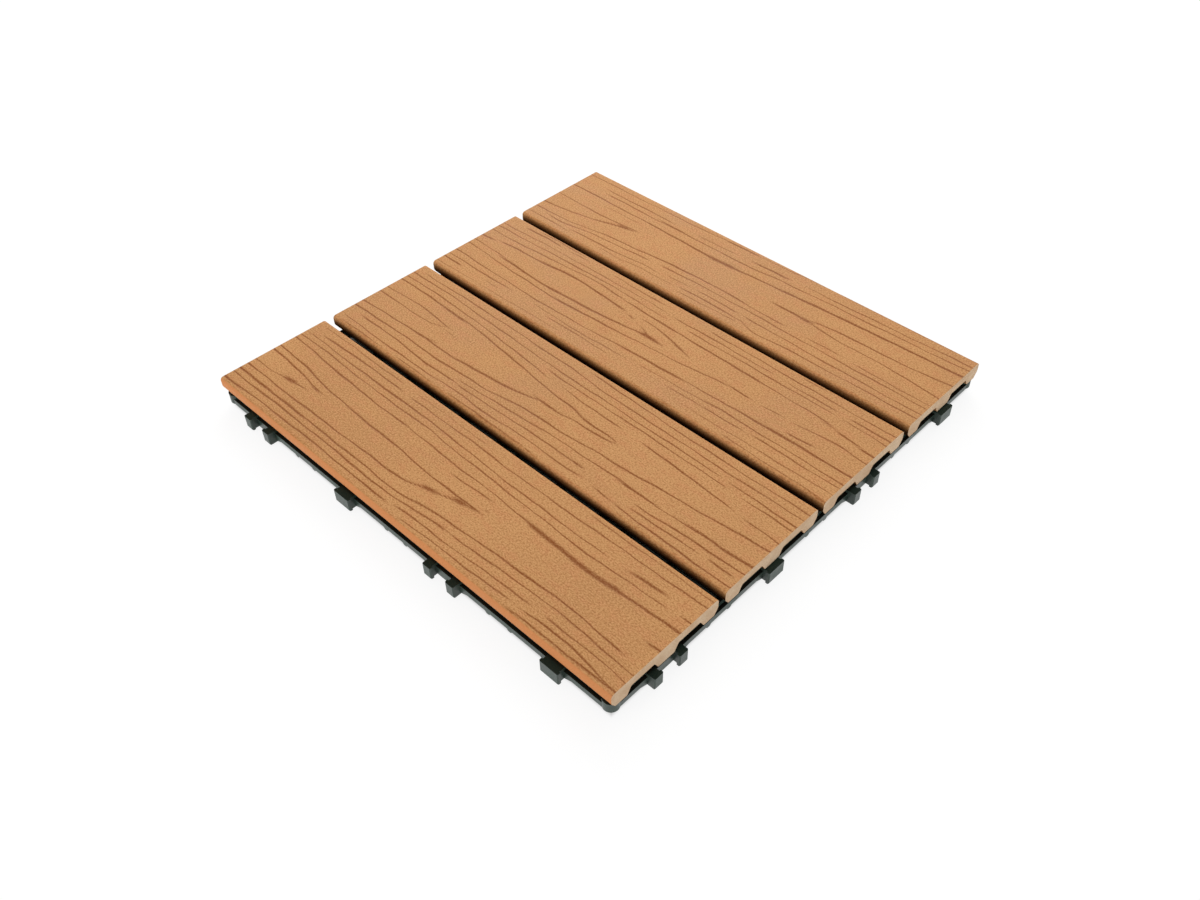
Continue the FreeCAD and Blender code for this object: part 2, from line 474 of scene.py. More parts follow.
@dataclass(frozen=True)
class MouldedPlastic:
    """Very dark green-black polypropylene, paler on its upright faces as painted light.

    The deck's half width is in metres. Bump heights and the rim outside the deck are in millimetres.
    """

    # The flat colour is painted shade on level faces under the slats; proud is for level faces outside the
    # deck.
    flat: tuple = srgb(26, 23, 17)
    proud: tuple = srgb(38, 51, 44)
    # Paler upright colours: painted light reflected from the white floor, mottled at random by clouds.
    upright: tuple = srgb(44, 61, 53)
    lit_wall_patch: tuple = srgb(74, 90, 81)
    grain_scale: float = 1600.0
    cloud_scale: float = 110.0
    lit_wall_patch_share: float = 0.6
    level_range: tuple = (0.15, 0.75)
    upright_sheen: float = 0.45
    flat_sheen: float = 0.06
    roughness: tuple = (0.31, 0.46)
    deck_half: float = 0.1502
    rim: float = 2.4
    bump_strength: float = 0.3
    bump_height: float = 0.06

    def make(self, speckle: SpeckleEffect) -> bpy.types.Material:
        """Build the material.

        Args:
            speckle: The shared speckle effect.

        Returns:
            The finished material.
        """
        material, sheet, shader = fresh_material("moulded_plastic")
        grain, cloud = speckle.use(sheet, sheet.place(), self.grain_scale, self.cloud_scale)
        # Upright faces take the paler colours as painted light, level faces under the slats the flat one as
        # painted shade.
        level = sheet.ramp(sheet.level(), *self.level_range)
        lit_uprights = sheet.blend(sheet.maths("MULTIPLY", cloud, self.lit_wall_patch_share), self.upright, self.lit_wall_patch)
        outside = sheet.ramp(sheet.reach(), self.deck_half - self.rim * MM, self.deck_half)
        shaded_tops = sheet.blend(outside, self.flat, self.proud)
        sheet.fill(shader, {
            "Base Color": sheet.blend(level, lit_uprights, shaded_tops),
            "Specular IOR Level": sheet.ramp(level, 0.0, 1.0, self.upright_sheen, self.flat_sheen),
            "Roughness": sheet.ramp(cloud, 0.0, 1.0, *self.roughness),
            "Normal": sheet.bump(grain, self.bump_strength, self.bump_height * MM),
        })
        return material


@dataclass(frozen=True)
class PlatedSteel:
    """Zinc-plated screw steel."""

    body: tuple = srgb(196, 194, 186)
    dull: tuple = srgb(158, 156, 148)
    grain_scale: float = 2500.0
    cloud_scale: float = 300.0
    roughness: tuple = (0.26, 0.42)

    def make(self, speckle: SpeckleEffect) -> bpy.types.Material:
        """Build the material.

        Args:
            speckle: The shared speckle effect.

        Returns:
            The finished material.
        """
        material, sheet, shader = fresh_material("plated_steel")
        grain, cloud = speckle.use(sheet, sheet.place(), self.grain_scale, self.cloud_scale)
        sheet.fill(shader, {
            "Base Color": sheet.blend(cloud, self.body, self.dull),
            "Metallic": 1.0,
            "Roughness": sheet.ramp(grain, 0.0, 1.0, *self.roughness),
        })
        return material


@dataclass(frozen=True)
class LineStyle:
    """How one embossed line looks, with its half width and the length of its taper in millimetres."""

    width: float
    strength: float
    taper: float = 6.0


HAIR = LineStyle(0.3, 0.55)
FINE = LineStyle(0.34, 0.8)
PLAIN = LineStyle(0.4, 0.95)
STRONG = LineStyle(0.52, 1.0)
BROAD = LineStyle(0.75, 1.0, 8.0)
BLOT = LineStyle(1.35, 1.0, 3.5)
DASH = LineStyle(0.62, 1.0, 2.5)


def rippled(base: object, waves: tuple, x: np.ndarray, phase: float) -> np.ndarray:
    """Add small waves to a value.

    Args:
        base: The plain value.
        waves: Size, length and turns of the phase of each wave.
        x: Positions along the tile.
        phase: Shifts the waves.

    Returns:
        The value at each position.
    """
    for size, length, turns in waves:
        base = base + size * np.sin(x / length + turns * phase)
    return base


@dataclass(frozen=True)
class GrainStroke:
    """One embossed line, drawn by a few points along and across the tile in millimetres.

    A line that starts or ends past the open end runs off the slat and doesn't taper there.
    """

    style: LineStyle
    points: tuple
    wander: tuple = ((0.2, 7.3, 1), (0.11, 2.9, 2))
    swell: tuple = ((0.11, 11.0, 3), (0.05, 4.1, 5))
    open_end: float = 149.0

    def mask(self, x: np.ndarray, y: np.ndarray, phase: float) -> np.ndarray:
        """Depth of the line at each point.

        Args:
            x: Positions along the tile.
            y: Positions across it.
            phase: Shifts the line's own small waves.

        Returns:
            Values from 0 to 1.
        """
        knots = np.array(self.points, float)
        middle = rippled(smooth_through(knots, x), self.wander, x, phase)
        half_width = rippled(self.style.width, self.swell, x, phase)
        start, end = knots[0, 0], knots[-1, 0]
        fade_in = np.clip((x - start) / self.style.taper + (start <= -self.open_end), 0, 1)
        fade_out = np.clip((end - x) / self.style.taper + (end >= self.open_end), 0, 1)
        profile = np.exp(-(np.abs((y - middle) / half_width) ** 3))
        return self.style.strength * profile * fade_in * fade_out


def smooth_through(knots: np.ndarray, x: np.ndarray) -> np.ndarray:
    """Height of a smooth curve through points, cubic between them with the slopes of their neighbours.

    Args:
        knots: Points with rising first values.
        x: Where the curve is wanted.

    Returns:
        The curve's heights.
    """
    xs, ys = knots[:, 0], knots[:, 1]
    slopes = np.gradient(ys, xs) if len(xs) > 2 else np.full(len(xs), (ys[-1] - ys[0]) / (xs[-1] - xs[0]))
    index = np.clip(np.searchsorted(xs, x) - 1, 0, len(xs) - 2)
    run = xs[index + 1] - xs[index]
    t = np.clip((x - xs[index]) / run, 0, 1)
    first = (2 * t**3 - 3 * t**2 + 1) * ys[index] + (t**3 - 2 * t**2 + t) * run * slopes[index]
    second = (-2 * t**3 + 3 * t**2) * ys[index + 1] + (t**3 - t**2) * run * slopes[index + 1]
    return first + second


@dataclass
class GrainField:
    """All embossed lines of one slat."""

    lines: tuple
    phase_step: float = 1.3

    def mask(self, x: np.ndarray, y: np.ndarray) -> np.ndarray:
        """Depth of the deepest line at each point.

        Args:
            x: Positions along the tile in millimetres.
            y: Positions across it in millimetres.

        Returns:
            Values from 0 to 1.
        """
        total = np.zeros_like(x)
        for number, line in enumerate(self.lines):
            total = np.maximum(total, line.mask(x, y, self.phase_step * number))
        return total


def finish_piece(bm: bmesh.types.BMesh, name: str, materials: list, sharp: float = 30.0) -> bpy.types.Object:
    """Turn a bmesh into a shaded object in the scene.

    Args:
        bm: The bmesh, which is freed.
        name: The object's name.
        materials: Materials for its slots.
        sharp: Angle in degrees past which an edge stays sharp.

    Returns:
        The new object.
    """
    bmesh.ops.recalc_face_normals(bm, faces=bm.faces)
    mesh = bpy.data.meshes.new(name)
    bm.to_mesh(mesh)
    bm.free()
    mesh.shade_smooth()
    mesh.set_sharp_from_angle(angle=math.radians(sharp))
    for material in materials:
        mesh.materials.append(material)
    piece = bpy.data.objects.new(name, mesh)
    bpy.context.scene.collection.objects.link(piece)
    return piece


def vertex_places(mesh: bpy.types.Mesh) -> np.ndarray:
    """Where a mesh's vertices lie.

    Args:
        mesh: The mesh.

    Returns:
        A row of X, Y and Z in metres for each vertex.
    """
    places = np.zeros(len(mesh.vertices) * 3)
    mesh.vertices.foreach_get("co", places)
    return places.reshape(-1, 3)


def keep_mask(mesh: bpy.types.Mesh, name: str, values: np.ndarray) -> None:
    """Keep a value at each vertex for the material to read.

    Args:
        mesh: The mesh.
        name: The mask's name.
        values: Its values, one for each vertex.
    """
    mask = mesh.attributes.new(name, "FLOAT", "POINT")
    mask.data.foreach_set("value", values)
    mesh.update()


@dataclass
class GrainedSlat:
    """A slat with its top embossed, in place of its plain solid. Sizes in millimetres, its box in metres."""

    part: Part
    grain: GrainField
    gap_sides: tuple
    low: Vector = field(init=False)
    high: Vector = field(init=False)
    middle: float = field(init=False)
    half: float = field(init=False)
    side_lean: float = 2.6
    bend_height: float = 3.8
    outer_leg: float = 10.0
    centre_leg: float = 10.8
    channel_depth: float = 4.6
    channel_slope: float = 2.6
    top_radius: float = 2.0
    bend_radius: float = 3.5
    channel_radius: float = 1.2
    foot_radius: float = 0.5
    round_steps: int = 5
    least_top: float = 20.0
    emboss_depth: float = 0.08
    emboss_reach: float = 0.6
    # How the painted shade runs down the gap sides and into the channels.
    gap_shade_start: float = 0.7
    gap_shade_depth: float = 3.6
    gap_shade: float = 0.93
    channel_shade: float = 0.02
    channel_margin: float = 0.1
    step_along: float = 2.5
    step_across: float = 0.18
    sharp_angle: float = 28.0

    def __post_init__(self) -> None:
        """Read the box of the plain solid."""
        self.low, self.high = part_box(self.part.value)
        self.middle = (self.low.y + self.high.y) / 2
        self.half = (self.high.y - self.low.y) / 2

    def section(self, bm: bmesh.types.BMesh) -> bmesh.types.BMFace:
        """Draw the slat's section at its lower end along the tile.

        Args:
            bm: The bmesh to draw in.

        Returns:
            The section's face.
        """
        inside = self.half - self.outer_leg * MM
        leg = self.centre_leg * MM / 2
        slope = self.channel_slope * MM
        foot = self.low.z
        roof = foot + self.channel_depth * MM
        right = [
            (leg, foot, self.foot_radius),
            (leg + slope, roof, self.channel_radius),
            (inside - slope, roof, self.channel_radius),
            (inside, foot, self.foot_radius),
            (self.half - self.side_lean * MM, foot, self.foot_radius),
            (self.half, foot + self.bend_height * MM, self.bend_radius),
            (self.half, self.high.z, self.top_radius),
        ]
        outline = right + [(-u, v, radius) for u, v, radius in reversed(right)]
        corners = [bm.verts.new((self.low.x, self.middle + u, v)) for u, v, _ in outline]
        bm.faces.new(corners)
        places = [corner.co.copy() for corner in corners]
        for number, corner in enumerate(corners):
            back = (places[number - 1] - places[number]).normalized()
            ahead = (places[(number + 1) % len(places)] - places[number]).normalized()
            run = outline[number][2] * MM / math.tan(back.angle(ahead) / 2)
            bmesh.ops.bevel(
                bm, geom=[corner], offset=run, offset_type="OFFSET",
                segments=self.round_steps, profile=0.5, affect="VERTICES", material=-1)
        return next(iter(bm.faces))

    def build(self, materials: list) -> bpy.types.Object:
        """Build, emboss and place the slat.

        Args:
            materials: Skin and sawn end.

        Returns:
            The slat's object.
        """
        bm = bmesh.new()
        face = self.section(bm)
        flat = [
            edge for edge in face.edges
            if all(abs(vert.co.z - self.high.z) < NEAR for vert in edge.verts)
            and edge.calc_length() > self.least_top * MM]
        cuts = int(flat[0].calc_length() / (self.step_across * MM))
        bmesh.ops.subdivide_edges(bm, edges=flat, cuts=cuts)
        bmesh.ops.delete(bm, geom=bm.faces[:], context="FACES_ONLY")
        first = bm.edges[:]
        run = self.high.x - self.low.x
        steps = int(run / (self.step_along * MM))
        swept = bmesh.ops.spin(
            bm, geom=first, cent=(0, 0, 0), axis=(1, 0, 0), angle=0.0, steps=steps,
            dvec=(run / steps, 0, 0))
        last = [item for item in swept["geom_last"] if isinstance(item, bmesh.types.BMEdge)]
        for ring in (first, last):
            ends = bmesh.ops.edgeloop_fill(bm, edges=ring)["faces"]
            for end in ends:
                end.material_index = 1
        slat = finish_piece(bm, self.part.value + "_grained", materials, self.sharp_angle)
        self.emboss(slat.data)
        self.shade_gaps(slat.data)
        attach(slat, ROOT)
        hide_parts(self.part.value)
        return slat

    def emboss(self, mesh: bpy.types.Mesh) -> None:
        """Press the grain into the top and keep it as a mask.

        Args:
            mesh: The slat's mesh.
        """
        places = vertex_places(mesh)
        depth = self.grain.mask(places[:, 0] / MM, places[:, 1] / MM)
        depth = depth * (places[:, 2] > self.high.z - self.emboss_reach * MM)
        inner = np.abs(places[:, 0]) < np.abs(places[:, 0]).max() - NEAR
        places[:, 2] -= depth * inner * self.emboss_depth * MM
        mesh.vertices.foreach_set("co", places.ravel())
        keep_mask(mesh, LINE_MASK, depth)

    def shade_gaps(self, mesh: bpy.types.Mesh) -> None:
        """Keep how deep each point lies in a gap or in the channels beneath, as a mask of painted shade.

        Args:
            mesh: The slat's mesh.
        """
        places = vertex_places(mesh)
        sunk = (self.high.z - places[:, 2]) / MM - self.gap_shade_start
        sunk = np.clip(sunk / self.gap_shade_depth, 0, 1)
        across = places[:, 1] - self.middle
        beside = np.zeros(len(places))
        for side in self.gap_sides:
            beside = np.maximum(beside, (side * across > self.half - self.outer_leg * MM / 2) * 1.0)
        inside = np.abs(across) < self.half - (self.outer_leg - self.channel_margin) * MM
        beneath = inside * (places[:, 2] < self.low.z + (self.channel_depth + self.channel_margin) * MM)
        shade = np.maximum(self.gap_shade * sunk * beside, self.channel_shade * beneath)
        keep_mask(mesh, GAP_MASK, shade)


def strokes(style: LineStyle, *runs: tuple) -> tuple:
    """Embossed lines that share a style.

    Args:
        style: How the lines look.
        runs: The points of each line in millimetres.

    Returns:
        The lines.
    """
    return tuple(GrainStroke(style, run) for run in runs)


# Embossed lines of each slat, drawn after the photographed tile. The first slat is the nearest to the front.
FIRST_SLAT = GrainField((*strokes(
    STRONG,
    ((-150, -110), (-135, -111), (-117, -112.2), (-108, -113.5), (-80, -115.7), (-40, -116.8),
     (-10, -118.3), (18, -118.6), (34, -118)),
    ((-150, -132), (-100, -131.9), (-65, -131.2), (-40, -130.7), (-22, -130.2), (-12, -129), (-5, -127.2),
     (0, -125.7), (8, -123.6), (15, -121.2), (21, -119.4), (32, -118.3)),
    ((-150, -115), (-137, -115.4), (-115, -117.1), (-105, -118.8), (-96, -119.5)),
    ((-150, -141.4), (-100, -140.7), (-50, -140.7), (-8, -140.6), (0, -139.6), (10, -138.4), (30, -137.2)),
    ((-150, -146.8), (-125, -146), (-85, -145.1), (-40, -145.1), (-20, -145.4), (-7, -144.7)),
    ((-150, -137.2), (-85, -137), (-40, -137), (-20, -137.4), (-10, -137), (0, -135.8), (10, -134),
     (20, -133), (40, -131.6), (62, -130.5), (90, -129.2), (110, -129.1), (141, -130.8)),
    ((-150, -100), (-130, -100.8), (-100, -102.7), (-70, -103.6), (-40, -103.7)),
    ((-95, -92.9), (-55, -92.8), (-40, -93.2)), ((-140, -88), (-110, -87.6), (-95, -87.1), (-66, -87.8)),
    ((87, -144.4), (105, -143.7), (130, -144.4), (142, -146.5), (150, -147.3)),
    ((80, -148.4), (100, -148), (125, -147.6), (150, -147.4))
), *strokes(
    BROAD, ((46, -106.1), (66, -107), (90, -108), (115, -107), (150, -105.2)),
    ((-150, -137.2), (-120, -137), (-84, -137.1)), ((-112, -102), (-104, -102.5), (-92, -103)),
    ((60, -130.9), (75, -130.1), (86, -129.4)), ((-112, -118), (-103, -119.2), (-96, -119.4)),
    ((112, -107.1), (135, -106.1), (150, -105.2)), ((106, -95.6), (114, -94.7), (135, -93.9)),
    ((10, -122.4), (20, -119.9), (28, -118.8)), ((-150, -146.9), (-140, -146.8), (-129, -146.5))
), *strokes(
    BLOT, ((-6, -126.4), (0, -125.4), (7, -124)), ((12, -121.4), (18, -120), (24, -119.2)),
    ((52, -106.4), (66, -107), (80, -107.8), (92, -108.1), (104, -107.5), (116, -107)),
    ((-126, -124.9), (-121, -124.4), (-114, -123.7))
), *strokes(
    DASH, ((141, -119), (150, -118.8)), ((143.5, -98.5), (150, -98.1)), ((30, -114.5), (34, -115.6))
), *strokes(
    PLAIN, ((-150, -127), (-135, -126.5), (-125, -125), (-105, -123)),
    ((-45, -103.7), (0, -105), (30, -105.3), (50, -106.2), (90, -108), (115, -107), (150, -105.2)),
    ((-150, -96), (-120, -96.1), (-85, -97.3), (-50, -97.2), (-35, -97.1), (-18, -98), (20, -99.2),
     (50, -100), (100, -100.6), (115, -99.7), (138, -98.9)),
    ((-148, -92), (-100, -92.8), (-50, -93), (-30, -92.9), (-8, -94), (20, -95), (50, -95.5), (97, -95.7)),
    ((-62, -88), (0, -87.9), (25, -88.5), (50, -88.3), (88, -87.8), (100, -87.3), (125, -87.4),
     (150, -86.3)), ((-2, -110.4), (32, -109.1)),
    ((28, -137.3), (50, -136.4), (70, -135.4), (95, -134.1), (120, -134.7), (150, -135.9)),
    ((-6, -144), (10, -143), (30, -142.6), (50, -141.8), (75, -140.3), (92, -140)),
    ((98, -140), (133, -140), (150, -140.9)),
    ((3, -148), (10, -147.2), (30, -146.4), (50, -146.1), (62, -145.3), (83, -144.8))
), *strokes(
    FINE, ((70, -82.2), (150, -82)), ((-146, -82.6), (-70, -83.4))
), *strokes(
    HAIR, ((-60, -83.6), (0, -84))
)))

SECOND_SLAT = GrainField((*strokes(
    STRONG,
    ((-150, -22), (-113, -22.7), (-90, -23.4), (-75, -24.4), (-50, -27), (-40, -28.4), (-20, -30.8),
     (0, -33), (13, -34), (19, -35.6), (40, -35.9), (48, -37.2)),
    ((-150, -51.8), (-125, -50.5), (-105, -49.6), (-75, -50), (-50, -48.4), (-30, -46.4), (-15, -43.3),
     (-8, -41.6), (10, -41.4), (16, -40.1), (34, -39.5), (42, -38.6), (48, -37.2)),
    ((-150, -57.6), (-115, -56.7), (-70, -56.9), (-50, -56), (-35, -55.3), (-20, -53), (0, -51.3),
     (30, -50.2), (40, -49.1), (62, -47.9), (85, -46), (120, -43.2), (150, -40.6)),
    ((-15, -39.4), (-10, -41.1), (-4, -41.6)), ((80, -62.1), (92, -62), (110, -61), (150, -59.9)),
    ((54, -28.1), (80, -28.9), (100, -30.7), (121, -31.9)), ((126, -33.1), (150, -33.9)),
    ((-140, -61.6), (-115, -61.5), (-80, -63.4), (-50, -63.2)), ((106, -19.1), (130, -19.4), (150, -19.9)),
    ((72, -68.7), (90, -69.7), (110, -70.2), (150, -70.5))
), *strokes(
    BROAD, ((-108, -49.6), (-95, -49.4), (-85, -48.2)), ((-72, -49.8), (-40, -47.4), (-20, -44.6)),
    ((62, -55.3), (80, -56), (94, -55.2)), ((106, -54.8), (118, -54.5), (135, -54.7), (150, -53.7)),
    ((-113, -22.8), (-100, -23.3), (-84, -23.8)), ((16, -35.2), (28, -35.8), (42, -35.9)),
    ((-13, -40.8), (-6, -41.5), (8, -41.5))
), *strokes(
    DASH, ((131, -64.5), (147, -64.2)), ((36, -61.9), (47, -61.7))
), *strokes(
    PLAIN, ((-150, -33), (-110, -32.3), (-100, -33.3), (-88, -34.3)),
    ((-150, -38.8), (-110, -38.7), (-102, -38), (-96, -36), (-92, -34.4)),
    ((-4, -6), (20, -6.7), (40, -7.7), (62, -8.4), (105, -9.1), (150, -9)),
    ((-145, -9), (-80, -9.1), (-40, -10.1), (-5, -11.2), (10, -12.4), (60, -13.3), (95, -14), (150, -13.8)),
    ((-150, -12.7), (-105, -13.1), (-70, -15), (-50, -15.5), (-30, -16.8), (0, -17.2), (50, -17.9),
     (104, -18.4)), ((-150, -17.6), (-108, -18.1), (-80, -19.7), (-50, -21.8), (-30, -24), (-16, -25.3)),
    ((-24, -20), (-14, -20.9), (30, -21.3), (75, -21.9), (110, -22.7)),
    ((117, -23.2), (133, -23), (150, -23.2)), ((-7, -25.3), (10, -26.5), (42, -27.6)),
    ((-54, -60.4), (-36, -59.7), (-10, -57.9), (10, -56.5), (40, -55.7), (62, -55.2), (85, -55.8),
     (150, -53.6)), ((-52, -63.6), (-34, -63.6), (-10, -62.5), (20, -62), (48, -61.5)),
    ((-148, -67.8), (-110, -68.6), (-70, -68.6), (-50, -67.8), (-20, -68.3), (0, -67.5), (24, -67.2),
     (36, -67.8), (52, -66.9)), ((57, -67.5), (74, -68.8)), ((80, -65.8), (105, -65.1), (128, -64.8)),
    ((-50, -71.6), (-18, -72), (2, -71.8), (14, -72.4), (24, -73.2))
), *strokes(
    FINE, ((-145, -71.8), (-105, -71.8)), ((-95, -71.8), (-60, -71.5))
), *strokes(
    HAIR, ((-95, -36.6), (-79, -37.8))
)))

THIRD_SLAT = GrainField((*strokes(
    STRONG, ((-138, 46), (-120, 47.6), (-92, 48.8), (-78, 50.2), (-64, 50.8), (-46, 49.6), (-25, 47.5)),
    ((-13, 44.2), (-7, 42), (-3, 39.9), (10, 39.2)),
    ((-122, 35), (-80, 33), (-50, 34.5), (-20, 37), (0, 39), (12, 38.8)),
    ((70, 25.4), (110, 26.2), (150, 26)), ((3, 47), (15, 45), (28, 41)),
    ((122, 61.6), (135, 61.4), (150, 60.9)), ((-28, 55), (0, 54), (45, 52.8), (75, 52.2)),
    ((40, 53.1), (75, 52.1))
), *strokes(
    BROAD, ((-126, 35.2), (-80, 33.2), (-50, 34.4), (-14, 37.4)),
    ((-104, 48.6), (-70, 50.8), (-46, 49.6), (-25, 47.5)), ((-72, 28.1), (-45, 29), (-18, 30.7)),
    ((-12, 21.6), (15, 23.3), (42, 24.2)), ((8, 46.4), (18, 44), (26, 41.6)),
    ((-6, 40.4), (2, 39.2), (12, 38.8)), ((80, 25.6), (110, 26.2), (150, 26)),
    ((112, 50.6), (118, 50.2), (123, 49.5))
), *strokes(
    DASH, ((105, 30), (115, 30.6), (123.5, 31.1)), ((123.5, 48.8), (130, 48), (141, 47.4)),
    ((139, 46.5), (150, 45.9)), ((59, 37.9), (68, 37.8), (76, 37.9)),
    ((-150, 43.8), (-145, 44), (-138.5, 44.9)), ((-150, 11.8), (-133, 11.3)), ((-24, 46.8), (-18, 45)),
    ((-134, 68.3), (-118, 68.8), (-102, 68.8))
), *strokes(
    BLOT, ((-8, 41), (-4, 40), (3, 39.2)), ((-9, 38.9), (-4, 39), (6, 38.9))
), *strokes(
    PLAIN, ((-17, 49), (0, 48), (15, 45), (30, 41)), ((-150, 37), (-125, 36.4), (-118, 35.6)),
    ((58, 14.8), (74, 15), (91, 15.7)), ((20, 67.6), (80, 66.6), (118, 66.2), (150, 66)),
    ((-150, 32), (-100, 29), (-60, 28), (-30, 30), (0, 32), (40, 35.5), (52, 37), (62, 37.9)),
    ((-150, 21.5), (-60, 19.5), (10, 23), (75, 25.5), (150, 26)),
    ((-150, 52), (-120, 53), (-90, 55.2), (-60, 57), (-34, 55.6)),
    ((-38, 55.3), (0, 53.8), (40, 53), (92, 51.8), (114, 51), (124, 49.4)), ((-97, 68.5), (-78, 69)),
    ((-28, 68.9), (-16, 68.5)), ((102, 38.4), (116, 39.5), (128, 40.5), (150, 39.2)),
    ((-4, 63), (40, 63), (73, 62.6)), ((79, 62.2), (118, 61.5)), ((10, 59), (40, 59), (118, 58.5)),
    ((121, 58.6), (150, 57.2)), ((-150, 57.7), (-118, 58.6), (-75, 60), (-38, 60.5)),
    ((56, 20), (90, 19.7), (150, 19)), ((92, 16), (125, 15.6), (150, 15.6)), ((81, 37.6), (99, 38.2)),
    ((-150, 15.8), (-90, 15.4))
), *strokes(
    FINE, ((-60, 69), (-12, 68)), ((-150, 62), (-110, 63.4), (-60, 64), (-24, 64), (-7, 63.3)),
    ((-44, 60.4), (-26, 59.5), (-3, 59)), ((32, 14.3), (62, 14.9)), ((84, 71), (105, 71.4)),
    ((-75, 15.4), (-30, 15), (4, 16.4)), ((10, 17), (40, 18.4), (72, 19.6)), ((-60, 12.4), (-5, 12.2)),
    ((60, 9), (110, 9.3), (150, 9.6)), ((80, 5.4), (120, 4.6), (150, 3.6)), ((-126, 71.2), (-80, 71.4))
), *strokes(
    HAIR, ((-150, 6), (-80, 7), (-40, 8)), ((42, 8.8), (64, 9)), ((-114, 11.5), (-98, 11.6))
)))

FOURTH_SLAT = GrainField((*strokes(
    STRONG, ((56, 113.9), (63, 116.2), (72, 117.5), (110, 118.4), (150, 121.5)),
    ((30, 127.6), (60, 129.6), (100, 131), (150, 132.5)), ((0, 102.9), (22, 102.8)),
    ((-14, 87.9), (5, 88.2), (22, 87.3)), ((-150, 99), (-130, 101), (-110, 105), (-95, 110), (-78, 113.6)),
    ((-150, 127), (-60, 126), (-20, 125), (20, 127), (60, 129), (100, 131), (150, 132.5)),
    ((-70, 99.3), (-45, 101.3), (-15, 103.1))
), *strokes(
    BROAD, ((-66, 126), (-20, 124.9), (4, 125.8)), ((22, 127.2), (60, 129.2), (100, 131), (150, 132.4)),
    ((28, 114.3), (45, 114.4), (60, 113.7)), ((-113, 104.2), (-95, 109.8), (-80, 112.8)),
    ((-6, 138.5), (10, 139.4), (27, 140))
), *strokes(
    BLOT, ((-30, 125.1), (-18, 124.9), (-6, 125.2)), ((50, 114.1), (56, 114), (62, 114.2)),
    ((-95, 110.8), (-90, 111.8), (-84, 112.8))
), *strokes(
    PLAIN, ((57, 113.7), (80, 111.2), (120, 110.6), (150, 107.5)), ((-12, 92), (0, 92.4), (24, 92.1)),
    ((-114, 86), (-90, 87.4), (-70, 88), (-50, 90), (-38, 90.2)),
    ((-80, 134), (-40, 133.2), (0, 133.4), (25, 135.6)),
    ((-150, 113), (-110, 112), (-95, 113), (-76, 114.2)),
    ((-150, 91.6), (-120, 92.6), (-105, 95.2), (-90, 97.4), (-70, 99), (-40, 102), (-15, 103), (20, 102),
     (52, 101)), ((-138, 88.8), (-120, 89), (-108, 91.2), (-85, 93.4), (-66, 95), (-50, 95.8)),
    ((-45, 97), (0, 97.8), (60, 97), (150, 96)),
    ((-22, 87), (-10, 88), (10, 87.9), (22, 87.2), (30, 86.8), (34, 85.3), (62, 85.1), (90, 85.4),
     (150, 86)), ((25, 92.2), (40, 91.6), (62, 91), (150, 90)), ((-34, 146), (-3, 146.8)),
    ((36, 140.4), (80, 141.2), (150, 143.2)), ((-126, 133.4), (-90, 133), (-44, 133)),
    ((-30, 132.6), (6, 133.6)), ((18, 135), (60, 136.4), (100, 137.4), (150, 139)),
    ((-130, 137.6), (-66, 137.4))
), *strokes(
    FINE, ((64, 101.2), (92, 101)), ((-48, 137.7), (-14, 138)), ((98, 100), (150, 99.5)),
    ((-150, 144), (-70, 144.5), (0, 146.4)), ((-2, 146.6), (18, 147), (27, 148), (90, 148.4), (150, 148.6)),
    ((-66, 84.4), (-50, 85.9), (-38, 86.2), (-23, 86.7)), ((-35, 91.6), (-10, 92)),
    ((-20, 83.7), (0, 84.1), (28, 84.8)), ((-150, 84.6), (-108, 84)), ((-86, 84.6), (-60, 84))
), *strokes(
    HAIR, ((-118, 121.4), (-82, 121.8))
)))


@dataclass
class SlatDeck:
    """The four slats."""

    skin: bpy.types.Material
    sawn: bpy.types.Material

    def build(self) -> None:
        """Build each slat and report it."""
        grains = {
            Part.SLAT_1: FIRST_SLAT,
            Part.SLAT_2: SECOND_SLAT,
            Part.SLAT_3: THIRD_SLAT,
            Part.SLAT_4: FOURTH_SLAT,
        }
        for part, grain in grains.items():
            sides = tuple(side for side, end in ((-1, Part.SLAT_1), (1, Part.SLAT_4)) if part is not end)
            slat = GrainedSlat(part, grain, sides).build([self.skin, self.sawn])
            LOG.info("%s: %d faces", slat.name, len(slat.data.polygons))


